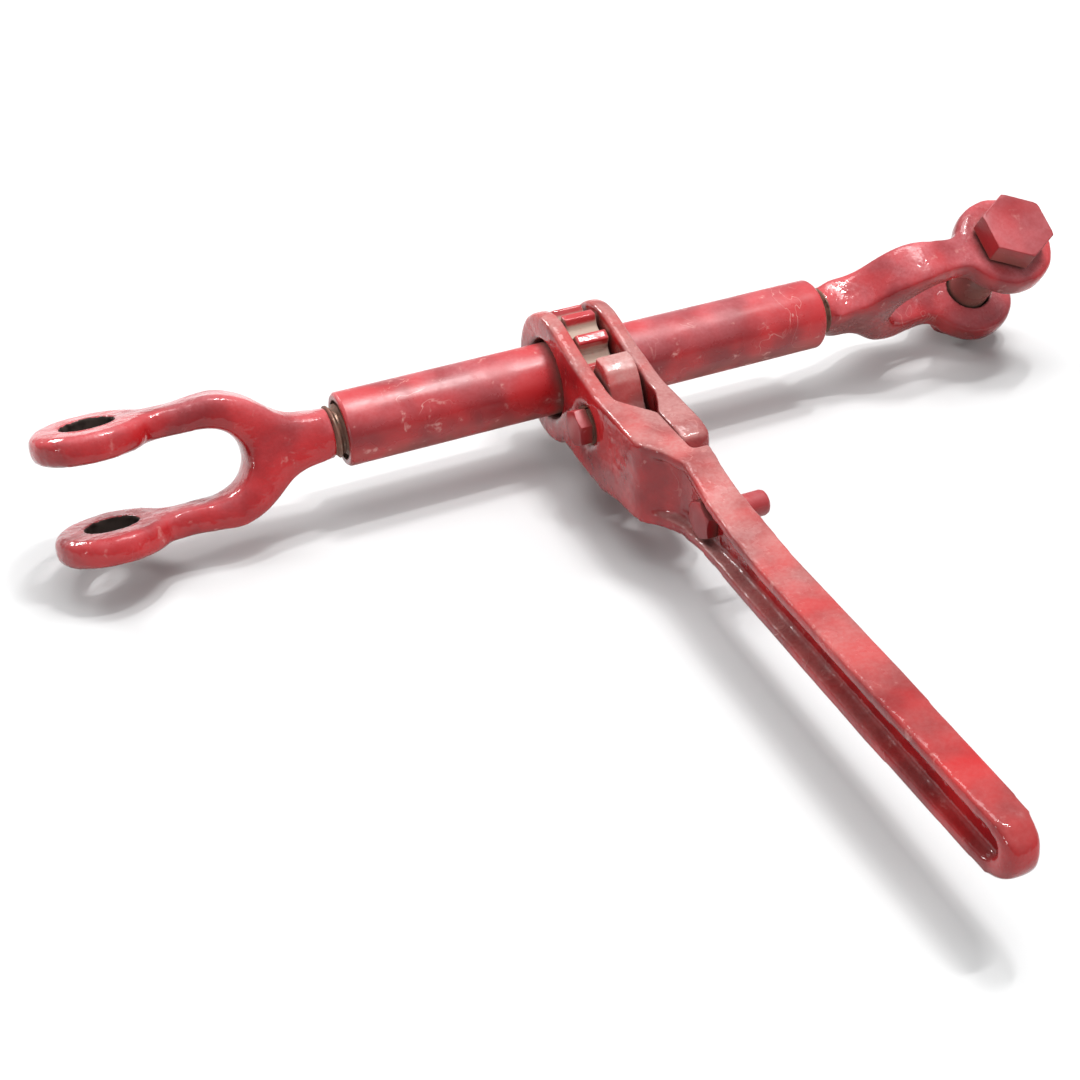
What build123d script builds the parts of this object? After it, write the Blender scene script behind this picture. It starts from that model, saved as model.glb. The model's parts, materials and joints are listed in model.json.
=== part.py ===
"""Ratchet load binder with a jaw at each end, in millimetres.

A steel barrel carries a ratchet gear at its middle and a threaded insert in each end. One screw has a
right-hand thread and the other a left-hand one, so turning the barrel draws both jaws in or lets both
out. A forged handle and a bolted side plate hang on the barrel as two ears, one each side of the gear,
and a reversible pawl between them, pushed by a sprung plunger, drives the gear.

Frame: the origin is on the barrel's axis, in the middle plane of the gear. +X runs along the barrel to
the jaw that holds the bolt, the handle reaches along -Y, and +Z is up.
"""
from math import cos, radians, sin, tan
import os

from build123d import *

os.makedirs("parts", exist_ok=True)


def save(piece, name):
    """Label a finished piece and write its STEP file."""
    piece.part.label = name
    export_step(piece.part, f"parts/{name}.step")


# ---------------------------------------------------------------- driving dimensions
running_fit = 0.05        # radial clearance of a turning or sliding fit
axial_play = 0.1          # gap between flat faces that turn on each other
bolt_clearance = 0.4      # radial clearance of a plain bolt hole

# barrel
barrel_r = 17.5
barrel_left = 121.0       # gear's middle plane to the left end
barrel_right = 128.5      # gear's middle plane to the right end
tube_wall = 3.5
insert_length = 32.0
mouth_r = 13.8            # dirt relief at the outer end of each insert
mouth_depth = 6.0
end_chamfer = 1.2

# screws and their end stops
screw_r = 12.5
neck_r = 12.0
screw_inside = 108.0      # length of each screw inside the barrel as drawn
stop_washer_thick = 5.0
stop_washer_gap = 0.3     # radial gap to the tube's inner wall
stop_screw_r = 4.0
stop_head_r = 6.5
stop_head_height = 5.0
stop_screw_depth = 16.0

# jaws: u is measured outwards from the barrel's end, p along the pin, s across both
pin_u_left = 109.0
pin_u_right = 104.5
left_tilt = 20.0          # lean of each jaw's pin axis from +Z towards +Y, in degrees
right_tilt = -32.0
jaw_gap = 32.8
ear_thick = 13.4
ear_radius = 26.6
crotch_u = 45.5
shoulder_u = 54.0
shoulder_bulge = 1.6      # how far the shoulder stands outside the ears' outer faces
fork_root_u = 20.0        # where the neck begins to open into the fork
arm_wide_s = 13.2
arm_waist_s = 10.2

# clevis bolt
clevis_bolt_r = 11.1
pin_clearance = 0.8       # radial, in the ears' holes
pin_hole_r = clevis_bolt_r + pin_clearance
bolt_head_flats = 33.3
bolt_head_height = 11.4
bolt_head_gap = 1.8       # the bolt is drawn standing this far off the ear, not screwed home
clevis_nut_height = 9.0
bolt_tail = 2.0

# ratchet gear
teeth = 12
gear_tip_r = 30.8
gear_root_r = 25.2
gear_width = 16.5
tooth_tip = 5.2
tooth_base = 8.8
weld_leg = 2.2

# yoke: the two ears on the barrel and what joins them
yoke_half = 18.0          # half the width over both ears
yoke_gap_half = 9.5       # half the gap between the ears
yoke_r = 32.0
yoke_bore_gap = 1.7       # radial, to the barrel
yoke_bore_r = barrel_r + yoke_bore_gap
yoke_top = 20.6           # height of the flat top between the ears and the grip
yoke_bottom = 27.5
seam_x = 2.6              # plane where the side plate laps the forging
well_front_y = -61.0      # front wall of the pawl's well, beside the left ear
well_seam_y = -78.0       # and where it meets the side plate
boss_end_y = -100.0       # end of the flat boss on the left ear's side, where the pocket begins
plate_end_y = -104.0
shoulder_y = -110.5       # step of the forging that faces the plate's end

# handle
handle_length = 350.0
grip_top = 12.2
grip_bottom = 12.2
grip_half = 8.8
tip_half = 7.4
flange_thick = 5.4
web_left = -2.0
pocket_end_gap = 9.5      # solid metal between the pocket's end and the tip
neck_y = -119.0           # narrowest place of the handle, behind the yoke
neck_half = 6.6
taper_y = -142.0          # the top edge comes down from the yoke to the grip about here
taper_top = 16.0
grip_start_y = -160.0
grip_end_y = -262.0       # from here the grip narrows to the tip

# pawl
pivot_y = -46.0
pawl_lean = 16.0          # the pawl rests this far either side of upright
pawl_width = 16.4
wing_height = 30.0
ridge = 14.0              # pivot to the ridge on the pawl's back
nose_reach = 17.0
sleeve_r = 8.0

# bolts of the yoke
yoke_bolt_r = 5.7
yoke_bolt_flats = 16.0
pawl_head_height = 6.2
lock_washer_thick = 2.2
lock_washer_r = 9.2
recess_x = -15.6          # floor of the recess that holds the pawl bolt's head
recess_r = 12.2
pawl_bolt_end = 20.5
handle_bolt_y = -135.0
handle_bolt_z = 1.0
handle_head_height = 5.2
handle_bolt_end = 25.5
tongue_x = 13.0           # outer face of the side plate's tongue
tongue_half = 7.0
tongue_end_y = -150.0

# plunger and spring
plunger_x = -5.0
plunger_r = 4.5
plunger_length = 15.0
plunger_stem_r = 1.9
plunger_stem = 8.0
bore_clearance = 0.1
spring_bore_end_y = -98.0
spring_wire_r = 0.55
spring_turns = 8

# ---------------------------------------------------------------- barrel
tube_bore_r = barrel_r - tube_wall

with BuildPart() as barrel_tube:
    with BuildSketch(Plane.YZ.offset(-barrel_left)):
        Circle(barrel_r)
        Circle(tube_bore_r, mode=Mode.SUBTRACT)
    extrude(amount=barrel_left + barrel_right)
    rims = barrel_tube.edges().filter_by(GeomType.CIRCLE)
    chamfer(rims.filter_by(lambda rim: abs(rim.radius - barrel_r) < 1e-3), end_chamfer)
save(barrel_tube, "barrel_tube")


def thread_insert(end_x, inward):
    """Threaded insert welded into one end of the tube, with a relief at its mouth."""
    with BuildPart() as insert:
        with BuildSketch(Plane((end_x, 0, 0), x_dir=(0, 1, 0), z_dir=(inward, 0, 0))):
            Circle(tube_bore_r)
            Circle(screw_r + running_fit, mode=Mode.SUBTRACT)
        extrude(amount=insert_length)
        with BuildSketch(Plane((end_x, 0, 0), x_dir=(0, 1, 0), z_dir=(inward, 0, 0))):
            Circle(mouth_r)
        extrude(amount=mouth_depth, mode=Mode.SUBTRACT)
    return insert


save(thread_insert(-barrel_left, 1), "left_thread_insert")
save(thread_insert(barrel_right, -1), "right_thread_insert")

# ---------------------------------------------------------------- ratchet gear
with BuildPart() as ratchet_gear:
    with BuildSketch(Plane.YZ.offset(-gear_width / 2)):
        Circle(gear_root_r)
        with PolarLocations(0, teeth):
            Polygon(
                (gear_root_r - 1, -tooth_base / 2), (gear_tip_r, -tooth_tip / 2),
                (gear_tip_r, tooth_tip / 2), (gear_root_r - 1, tooth_base / 2), align=None,
            )
        Circle(barrel_r, mode=Mode.SUBTRACT)
    extrude(amount=gear_width)
    bore_rims = ratchet_gear.edges().filter_by(GeomType.CIRCLE)
    chamfer(bore_rims.filter_by(lambda rim: abs(rim.radius - barrel_r) < 1e-3), weld_leg)
save(ratchet_gear, "ratchet_gear")

with BuildPart() as gear_welds:
    with BuildSketch(Plane.XZ):
        for face_x in (-gear_width / 2, gear_width / 2):
            inner_x = face_x * (1 - 2 * weld_leg / gear_width)
            Polygon((face_x, barrel_r), (face_x, barrel_r + weld_leg), (inner_x, barrel_r), align=None)
    revolve(axis=Axis.X)
save(gear_welds, "gear_welds")

# ---------------------------------------------------------------- jaws
ear_out = jaw_gap / 2 + ear_thick


def jaw_planes(side, end_x, tilt):
    """Planes of one jaw: through the screw's axis and the pin, across the pin, and across the screw."""
    lean = radians(tilt)
    pin = Vector(0, sin(lean), cos(lean))
    out = Vector(side, 0, 0)
    start = (side * end_x, 0, 0)
    fork = Plane(start, x_dir=out, z_dir=out.cross(pin))
    across_pin = Plane(start, x_dir=out, z_dir=pin)
    across_screw = Plane(start, x_dir=pin, z_dir=out)
    return fork, across_pin, across_screw


def jaw(side, end_x, pin_u, tilt):
    """Screw and fork forged in one, with the fork's two ears bored for the pin."""
    fork, across_pin, across_screw = jaw_planes(side, end_x, tilt)
    tip_u = pin_u + ear_radius + 5
    root_u = fork_root_u - 12
    with BuildPart() as body:
        with BuildSketch(fork):
            for half in (1, -1):
                with BuildLine():
                    Polyline(
                        (pin_u - ear_radius + 6, half * ear_out), (tip_u, half * ear_out), (tip_u, 0), (root_u, 0),
                        (root_u, half * neck_r), (root_u + 8, half * neck_r),
                    )
                    Spline(
                        (root_u + 8, half * neck_r), (fork_root_u + 7, half * (neck_r + 3.6)),
                        (crotch_u - 10, half * (ear_out - 6.8)), (crotch_u, half * (ear_out - 0.9)),
                        (shoulder_u, half * (ear_out + shoulder_bulge)),
                        (shoulder_u + 13, half * (ear_out + 0.4)), (pin_u - ear_radius + 6, half * ear_out),
                        tangents=((1, 0), (1, 0)),
                    )
                make_face()
            with Locations((crotch_u + jaw_gap / 2, 0)):
                Circle(jaw_gap / 2, mode=Mode.SUBTRACT)
            with Locations((crotch_u + jaw_gap / 2, 0)):
                Rectangle(200, jaw_gap, align=(Align.MIN, Align.CENTER), mode=Mode.SUBTRACT)
        extrude(amount=ear_radius + 5, both=True)
        with BuildSketch(across_pin):
            for half in (1, -1):
                with BuildLine():
                    Polyline((pin_u, half * arm_waist_s), (pin_u, 0), (0, 0), (0, half * neck_r))
                    Spline(
                        (0, half * neck_r), (fork_root_u, half * neck_r), (crotch_u - 4, half * arm_wide_s),
                        (shoulder_u + 2, half * (arm_wide_s - 0.9)), (shoulder_u + 15, half * arm_waist_s),
                        (pin_u, half * arm_waist_s), tangents=((1, 0), (1, 0)),
                    )
                make_face()
            with Locations((pin_u, 0)):
                Circle(ear_radius)
        extrude(amount=ear_out + 10, both=True, mode=Mode.INTERSECT)
        with BuildSketch(across_pin.offset(-ear_out - 5)):
            with Locations((pin_u, 0)):
                Circle(pin_hole_r)
        extrude(amount=2 * ear_out + 10, mode=Mode.SUBTRACT)
        with BuildSketch(across_screw):
            Circle(neck_r)
        extrude(amount=fork_root_u)
        with BuildSketch(across_screw.offset(-screw_inside)):
            Circle(screw_r)
        extrude(amount=screw_inside)
        with BuildSketch(across_screw.offset(-screw_inside)):
            Circle(stop_screw_r + running_fit)
        extrude(amount=stop_screw_depth, mode=Mode.SUBTRACT)
    return body


save(jaw(-1, barrel_left, pin_u_left, left_tilt), "left_clevis")
save(jaw(1, barrel_right, pin_u_right, right_tilt), "right_clevis")

# ---------------------------------------------------------------- end stops of the screws
for name, side, end_x in (("left", -1, barrel_left), ("right", 1, barrel_right)):
    inner_x = side * (end_x - screw_inside)
    washer_x = inner_x - side * axial_play
    head_x = washer_x - side * (stop_washer_thick + axial_play)
    with BuildPart() as stop_washer:
        with BuildSketch(Plane((washer_x, 0, 0), x_dir=(0, 1, 0), z_dir=(-side, 0, 0))):
            Circle(tube_bore_r - stop_washer_gap)
            Circle(stop_screw_r + stop_washer_gap, mode=Mode.SUBTRACT)
        extrude(amount=stop_washer_thick)
    save(stop_washer, f"{name}_stop_washer")

    with BuildPart() as stop_screw:
        with BuildSketch(Plane((head_x, 0, 0), x_dir=(0, 1, 0), z_dir=(-side, 0, 0))):
            Circle(stop_head_r)
        extrude(amount=stop_head_height)
        with BuildSketch(Plane((head_x, 0, 0), x_dir=(0, 1, 0), z_dir=(side, 0, 0))):
            Circle(stop_screw_r)
        extrude(amount=stop_washer_thick + 2 * axial_play + stop_screw_depth - 1)
        with BuildSketch(Plane((head_x - side * stop_head_height, 0, 0), x_dir=(0, 1, 0), z_dir=(side, 0, 0))):
            RegularPolygon(stop_head_r * 0.5, 6)
        extrude(amount=stop_head_height * 0.55, mode=Mode.SUBTRACT)
    save(stop_screw, f"{name}_stop_screw")

# ---------------------------------------------------------------- clevis bolt and nut
_, right_across_pin, _ = jaw_planes(1, barrel_right, right_tilt)


with BuildPart() as clevis_bolt:
    head_base = right_across_pin.offset(ear_out + bolt_head_gap)
    with BuildSketch(head_base):
        with Locations((pin_u_right, 0)):
            RegularPolygon(bolt_head_flats / 2, 6, major_radius=False, rotation=30)
    extrude(amount=bolt_head_height)
    with BuildSketch(head_base):
        with Locations((pin_u_right, 0)):
            Circle(clevis_bolt_r)
    extrude(amount=-(2 * ear_out + bolt_head_gap + axial_play + clevis_nut_height + bolt_tail))
save(clevis_bolt, "clevis_bolt")

with BuildPart() as clevis_nut:
    with BuildSketch(right_across_pin.offset(-ear_out - axial_play)):
        with Locations((pin_u_right, 0)):
            RegularPolygon(bolt_head_flats / 2, 6, major_radius=False, rotation=30)
            Circle(clevis_bolt_r, mode=Mode.SUBTRACT)
    extrude(amount=-clevis_nut_height)
save(clevis_nut, "clevis_nut")

# ---------------------------------------------------------------- handle forging
tip_y = -handle_length


def yoke_outline(far_points):
    """Side outline of one ear and what follows it towards the grip, in the plane across the barrel."""
    Circle(yoke_r)
    Polygon(
        (0, 0), (-10, 30.4), (-29, 25.2), (-54, yoke_top), *far_points,
        (-78, -22.8), (-62, -yoke_bottom), (-44, -26.2), (-20, -25), align=None,
    )


pocket_r = grip_top - flange_thick
pocket_end_y = tip_y + pocket_end_gap + pocket_r


def pocket_outline(front_y):
    """Outline of a pocket in the plane across the barrel, from front_y to its rounded end."""
    Polygon(
        (front_y, yoke_top - flange_thick), (neck_y, yoke_top - flange_thick),
        (taper_y, taper_top - flange_thick), (-185, pocket_r), (pocket_end_y, pocket_r),
        (pocket_end_y, -pocket_r), (grip_start_y, -pocket_r), (-139, -8.6), (neck_y - 2, -12), (front_y, -14),
        align=None,
    )
    with Locations((pocket_end_y, 0)):
        Circle(pocket_r)


with BuildPart() as left_pocket:
    with BuildSketch(Plane.YZ.offset(-yoke_half - 5)):
        pocket_outline(-96)
    extrude(amount=yoke_half + 5 + web_left)
    with BuildSketch(Plane.XY):
        Polygon(
            (-yoke_half - 5, boss_end_y + 1), (-yoke_half + 2, boss_end_y - 0.5), (web_left - 6, boss_end_y - 6.5),
            (web_left - 1.6, boss_end_y - 12), (web_left, neck_y), (web_left, tip_y), (-yoke_half - 5, tip_y),
            align=None,
        )
    extrude(amount=yoke_r, both=True, mode=Mode.INTERSECT)

with BuildPart() as right_pocket:
    with BuildSketch(Plane.YZ.offset(seam_x)):
        pocket_outline(-90)
    extrude(amount=yoke_half + 5)

with BuildPart() as handle_forging:
    with BuildSketch(Plane.YZ):
        yoke_outline([
            (neck_y, yoke_top), (taper_y, taper_top), (-185, grip_top + 0.4), (tip_y + 9, grip_top),
            (tip_y + 2.5, grip_top - 4.5), (tip_y, 3), (tip_y, -3), (tip_y + 2.5, -grip_bottom + 4.5),
            (tip_y + 9, -grip_bottom), (grip_start_y, -grip_bottom), (-139.5, -13.4), (neck_y - 2, -17.4),
            (-100, -21),
        ])
    extrude(amount=yoke_half, both=True)
    with BuildSketch(Plane.XY):
        Polygon(
            (-yoke_half, yoke_r + 5), (-yoke_half, boss_end_y + 6), (-yoke_half + 0.6, boss_end_y + 3),
            (-yoke_half + 2, boss_end_y), (-10.5, -108), (-neck_half, neck_y),
            (-7.4, -136), (-grip_half, grip_start_y - 5), (-grip_half, grip_end_y), (-tip_half, tip_y + 5),
            (-tip_half + 2.5, tip_y), (tip_half - 2.5, tip_y), (tip_half, tip_y + 5), (grip_half, grip_end_y),
            (grip_half, -150), (8.6, -131), (9.6, neck_y), (10.6, shoulder_y - 1), (10.2, shoulder_y),
            (seam_x, shoulder_y),
            (seam_x, well_seam_y), (-yoke_gap_half, well_front_y), (-yoke_gap_half, yoke_r + 5), align=None,
        )
    extrude(amount=40, both=True, mode=Mode.INTERSECT)
    add(left_pocket.part, mode=Mode.SUBTRACT)
    add(right_pocket.part, mode=Mode.SUBTRACT)
    with BuildSketch(Plane.YZ.offset(-yoke_half - 1)):
        Circle(yoke_bore_r)
    extrude(amount=yoke_half, mode=Mode.SUBTRACT)
    with BuildSketch(Plane.YZ.offset(recess_x)):
        with Locations((pivot_y, 0)):
            Circle(recess_r)
    extrude(amount=-10, mode=Mode.SUBTRACT)
    with BuildSketch(Plane.YZ.offset(web_left)):
        with Locations((handle_bolt_y, handle_bolt_z)):
            Circle(yoke_bolt_flats / 2 / cos(radians(30)) + bolt_clearance)
    extrude(amount=-yoke_half, mode=Mode.SUBTRACT)
    with BuildSketch(Plane.YZ.offset(-yoke_half)):
        with Locations((pivot_y, 0), (handle_bolt_y, handle_bolt_z)):
            Circle(yoke_bolt_r + bolt_clearance)
    extrude(amount=2 * yoke_half, mode=Mode.SUBTRACT)
    with BuildSketch(Plane.XZ.offset(-spring_bore_end_y)):
        with Locations((plunger_x, 0)):
            Circle(plunger_r + bore_clearance)
    extrude(amount=spring_bore_end_y - pivot_y, mode=Mode.SUBTRACT)
save(handle_forging, "handle_forging")

# ---------------------------------------------------------------- side plate
with BuildPart() as side_plate:
    with BuildSketch(Plane.YZ):
        yoke_outline([
            (-92, yoke_top), (-100, yoke_top - 2.2), (plate_end_y, 8), (plate_end_y, tongue_half - 1),
            (tongue_end_y + 4, tongue_half - 1), (tongue_end_y, tongue_half - 5),
            (tongue_end_y, -tongue_half + 5), (tongue_end_y + 4, -tongue_half + 1),
            (plate_end_y, -tongue_half + 1), (plate_end_y, -15), (-98, -20),
        ])
    extrude(amount=yoke_half)
    with BuildSketch(Plane.XY):
        Polygon(
            (yoke_gap_half, yoke_r + 5), (yoke_half, yoke_r + 5), (yoke_half, plate_end_y + 5),
            (yoke_half - 4, plate_end_y), (tongue_x, plate_end_y), (tongue_x, tongue_end_y),
            (seam_x, tongue_end_y), (seam_x, well_seam_y), (yoke_gap_half - 3, -69.5), (yoke_gap_half, -61),
            align=None,
        )
    extrude(amount=40, both=True, mode=Mode.INTERSECT)
    with BuildSketch(Plane.YZ):
        Circle(yoke_bore_r)
        with Locations((pivot_y, 0), (handle_bolt_y, handle_bolt_z)):
            Circle(yoke_bolt_r)
    extrude(amount=yoke_half + 1, mode=Mode.SUBTRACT)
save(side_plate, "side_plate")

# ---------------------------------------------------------------- pawl and its pivot
lean = radians(pawl_lean)
pawl_plane = Plane((0, pivot_y, 0), x_dir=(0, cos(lean), -sin(lean)), z_dir=(1, 0, 0))

with BuildPart() as pawl:
    with BuildSketch(pawl_plane.offset(-pawl_width / 2)):
        hub = sleeve_r + 4.1
        upper = [
            (-ridge, 0), (-ridge + 9 * tan(lean), 9), (-10, 19), (-8, 24), (-4.6, 27.6),
            (1.5, wing_height), (4, 26), (10, 19), (nose_reach - 0.8, 14), (nose_reach, 11.2), (hub, 6),
        ]
        Polygon(*upper, *[(a, -b) for a, b in reversed(upper[1:])], align=None)
        Circle(sleeve_r + running_fit, mode=Mode.SUBTRACT)
    extrude(amount=pawl_width)
save(pawl, "pawl")

with BuildPart() as pawl_sleeve:
    with BuildSketch(Plane.YZ.offset(-yoke_gap_half)):
        with Locations((pivot_y, 0)):
            Circle(sleeve_r)
            Circle(yoke_bolt_r + running_fit, mode=Mode.SUBTRACT)
    extrude(amount=2 * yoke_gap_half)
save(pawl_sleeve, "pawl_sleeve")


def hex_bolt(centre, seat_x, head_height, end_x):
    """Hex-head bolt along X with its head outside the left ear and its shank running to end_x."""
    with BuildPart() as bolt:
        with BuildSketch(Plane.YZ.offset(seat_x)):
            with Locations(centre):
                RegularPolygon(yoke_bolt_flats / 2, 6, major_radius=False, rotation=30)
        extrude(amount=-head_height)
        with BuildSketch(Plane.YZ.offset(seat_x)):
            with Locations(centre):
                Circle(yoke_bolt_r)
        extrude(amount=end_x - seat_x)
        end_rim = bolt.edges().filter_by(GeomType.CIRCLE).sort_by(Axis.X)[-1]
        chamfer(end_rim, yoke_bolt_r * 0.25)
    return bolt


save(hex_bolt((pivot_y, 0), recess_x - lock_washer_thick, pawl_head_height, pawl_bolt_end), "pawl_bolt")
save(hex_bolt((handle_bolt_y, handle_bolt_z), web_left, handle_head_height, handle_bolt_end), "handle_bolt")

with BuildPart() as pawl_bolt_washer:
    with BuildSketch(Plane.YZ.offset(recess_x)):
        with Locations((pivot_y, 0)):
            Circle(lock_washer_r)
            Circle(yoke_bolt_r + running_fit, mode=Mode.SUBTRACT)
            with Locations((0, lock_washer_r)):
                Rectangle(1.2, lock_washer_r * 1.4, rotation=20, mode=Mode.SUBTRACT)
    extrude(amount=-lock_washer_thick)
save(pawl_bolt_washer, "pawl_bolt_washer")

# ---------------------------------------------------------------- plunger and spring
plunger_tip_y = pivot_y - ridge - axial_play
plunger_back_y = plunger_tip_y - plunger_length

with BuildPart() as pawl_plunger:
    with BuildSketch(Plane.XZ.offset(-plunger_tip_y)):
        with Locations((plunger_x, 0)):
            Circle(plunger_r)
    extrude(amount=plunger_length)
    with BuildSketch(Plane.XZ.offset(-plunger_back_y)):
        with Locations((plunger_x, 0)):
            Circle(plunger_stem_r)
    extrude(amount=plunger_stem)
save(pawl_plunger, "pawl_plunger")

spring_length = plunger_back_y - spring_bore_end_y - 2 * spring_wire_r
with BuildPart() as pawl_spring:
    with BuildLine() as coil:
        Helix(
            pitch=spring_length / spring_turns, height=spring_length,
            radius=plunger_r - spring_wire_r - 0.3,
            center=(plunger_x, spring_bore_end_y + spring_wire_r, 0), direction=(0, 1, 0),
        )
    with BuildSketch(Plane(coil.line @ 0, z_dir=coil.line % 0)):
        Circle(spring_wire_r)
    sweep(path=coil.line)
save(pawl_spring, "pawl_spring")
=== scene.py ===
"""Looks of a ratchet load binder with a jaw at each end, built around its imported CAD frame.

Everything is in metres in the frame of the CAD: the barrel runs along X, the handle reaches along -Y.
"""
from __future__ import annotations

import json
import logging
import math
from dataclasses import dataclass, field
from enum import Enum
from typing import Callable, Sequence

import bmesh
import bpy
from mathutils import Matrix, Quaternion, Vector, noise


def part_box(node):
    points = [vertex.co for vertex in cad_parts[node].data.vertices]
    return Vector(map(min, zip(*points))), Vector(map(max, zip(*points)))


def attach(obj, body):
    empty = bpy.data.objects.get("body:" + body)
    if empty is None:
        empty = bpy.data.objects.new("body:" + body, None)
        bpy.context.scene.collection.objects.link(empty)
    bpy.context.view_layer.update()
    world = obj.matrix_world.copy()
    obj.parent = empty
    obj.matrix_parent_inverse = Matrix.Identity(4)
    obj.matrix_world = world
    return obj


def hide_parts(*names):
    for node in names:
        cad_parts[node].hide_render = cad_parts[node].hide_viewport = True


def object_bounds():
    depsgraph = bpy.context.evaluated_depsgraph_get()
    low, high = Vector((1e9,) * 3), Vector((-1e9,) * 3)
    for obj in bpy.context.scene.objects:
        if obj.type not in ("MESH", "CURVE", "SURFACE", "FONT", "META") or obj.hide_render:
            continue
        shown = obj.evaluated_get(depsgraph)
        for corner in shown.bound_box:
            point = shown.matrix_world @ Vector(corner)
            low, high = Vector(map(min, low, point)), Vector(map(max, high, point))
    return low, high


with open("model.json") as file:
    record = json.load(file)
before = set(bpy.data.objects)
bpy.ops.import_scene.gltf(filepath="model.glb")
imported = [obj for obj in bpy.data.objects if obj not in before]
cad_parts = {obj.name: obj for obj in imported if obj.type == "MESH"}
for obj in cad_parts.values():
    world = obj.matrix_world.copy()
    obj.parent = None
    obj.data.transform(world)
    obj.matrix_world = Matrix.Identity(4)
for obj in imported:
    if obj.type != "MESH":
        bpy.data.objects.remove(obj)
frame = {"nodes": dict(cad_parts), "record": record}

CAD_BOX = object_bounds()
MM = 0.001
# Angle in degrees above which a forged piece's edge stays sharp in shading.
FORGED_CREASE = 60
log = logging.getLogger("load_binder")


# ---------------------------------------------------------------- shader helpers
def linear(code: str) -> tuple[float, float, float, float]:
    """Turn an sRGB hex colour into linear RGBA.

    Args:
        code: colour such as "#B5231F".

    Returns:
        The linear colour with alpha 1.
    """
    parts = [int(code[i : i + 2], 16) / 255 for i in (1, 3, 5)]
    lin = [p / 12.92 if p <= 0.04045 else ((p + 0.055) / 1.055) ** 2.4 for p in parts]
    return (lin[0], lin[1], lin[2], 1.0)


def add(
    tree: bpy.types.NodeTree, kind: str, settings: dict | None = None, inputs: dict | None = None
) -> bpy.types.Node:
    """Add one shader node with its settings and links.

    Args:
        tree: node tree that gets the node.
        kind: Blender's node type.
        settings: attributes set on the node.
        inputs: value or source socket for each input, by name or index.

    Returns:
        The new node.
    """
    made = tree.nodes.new(kind)
    for key, value in (settings or {}).items():
        setattr(made, key, value)
    for key, value in (inputs or {}).items():
        if isinstance(value, bpy.types.NodeSocket):
            tree.links.new(value, made.inputs[key])
        else:
            made.inputs[key].default_value = value
    return made


@dataclass
class Graph:
    """A material's node tree with the few sums that every finish here uses."""

    name: str
    material: bpy.types.Material = field(init=False)
    place: bpy.types.NodeSocket = field(init=False)

    def __post_init__(self) -> None:
        """Start an empty node material that reads Object coordinates."""
        self.material = bpy.data.materials.new(self.name)
        self.material.use_nodes = True
        self.material.node_tree.nodes.clear()
        self.place = self.node("ShaderNodeTexCoord").outputs["Object"]

    def node(self, kind: str, settings: dict | None = None, inputs: dict | None = None) -> bpy.types.Node:
        """Add a node to this material."""
        return add(self.material.node_tree, kind, settings, inputs)

    def grain(self, size_mm: float, detail: float = 3.0, distortion: float = 0.0) -> bpy.types.NodeSocket:
        """Noise whose blotches are about size_mm across.

        Args:
            size_mm: real size of one blotch.
            detail: octaves of finer noise.
            distortion: how far the blotches are pulled out of shape.

        Returns:
            Socket with the noise from 0 to 1.
        """
        found = self.node(
            "ShaderNodeTexNoise", None,
            {"Vector": self.place, "Scale": 1 / (size_mm * MM), "Detail": detail, "Distortion": distortion},
        )
        return found.outputs[0]

    def span(
        self, value: bpy.types.NodeSocket, low: float, high: float, to_low: float = 0.0, to_high: float = 1.0
    ) -> bpy.types.NodeSocket:
        """Map a value from low..high to to_low..to_high with soft ends, clamped."""
        made = self.node(
            "ShaderNodeMapRange", {"interpolation_type": "SMOOTHSTEP"},
            {0: value, 1: low, 2: high, 3: to_low, 4: to_high},
        )
        return made.outputs[0]

    def sum(self, kind: str, first: object, second: object = 0.0) -> bpy.types.NodeSocket:
        """One arithmetic step on two values."""
        return self.node("ShaderNodeMath", {"operation": kind}, {0: first, 1: second}).outputs[0]

    def scaled(self, *factors: object) -> bpy.types.NodeSocket:
        """Product of two or more values."""
        product = factors[0]
        for factor in factors[1:]:
            product = self.sum("MULTIPLY", product, factor)
        return product

    def rest(self, share: object) -> bpy.types.NodeSocket:
        """What a share leaves of 1."""
        return self.sum("SUBTRACT", 1.0, share)

    def blend(self, share: object, under: object, over: object) -> bpy.types.NodeSocket:
        """Colour over laid on colour under by share."""
        return self.node(
            "ShaderNodeMix", {"data_type": "RGBA"}, {0: share, 6: under, 7: over}
        ).outputs[2]

    def facing_up(self, low: float, high: float) -> bpy.types.NodeSocket:
        """Share from 0 to 1 as a face turns from low to high on the upward part of its normal."""
        normal = self.node("ShaderNodeNewGeometry").outputs["Normal"]
        return self.span(self.node("ShaderNodeSeparateXYZ", None, {0: normal}).outputs[2], low, high)

    def hidden(self, reach_mm: float, low: float, high: float, inside: bool = False) -> bpy.types.NodeSocket:
        """Share of corners, within reach_mm: inner corners, or outer edges where inside is true."""
        seen = self.node(
            "ShaderNodeAmbientOcclusion", {"samples": 6, "inside": inside}, {"Distance": reach_mm * MM}
        ).outputs["AO"]
        return self.span(self.rest(seen), low, high)

    def bump(self, size_mm: float, height_mm: float, detail: float) -> bpy.types.NodeSocket:
        """Relief of noise, size_mm wide and height_mm high."""
        return self.node(
            "ShaderNodeBump", None,
            {"Height": self.grain(size_mm, detail), "Distance": height_mm * MM, "Strength": 1.0},
        ).outputs[0]

    def finish(self, settings: dict) -> bpy.types.Material:
        """Close the tree with a Principled shader and return the material."""
        shader = self.node("ShaderNodeBsdfPrincipled", None, settings)
        self.node("ShaderNodeOutputMaterial", None, {"Surface": shader.outputs[0]})
        return self.material


# Along the handle: a hand's hold ends, and the dust is whole again.
GRIP_CLEAN_Y, GRIP_DUSTY_Y = -320 * MM, -150 * MM
MOST_ROUGH, LEAST_ROUGH = 0.95, 0.08
ENAMEL_IOR = 1.5
WORN_STEEL = "#8C8079"


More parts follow.
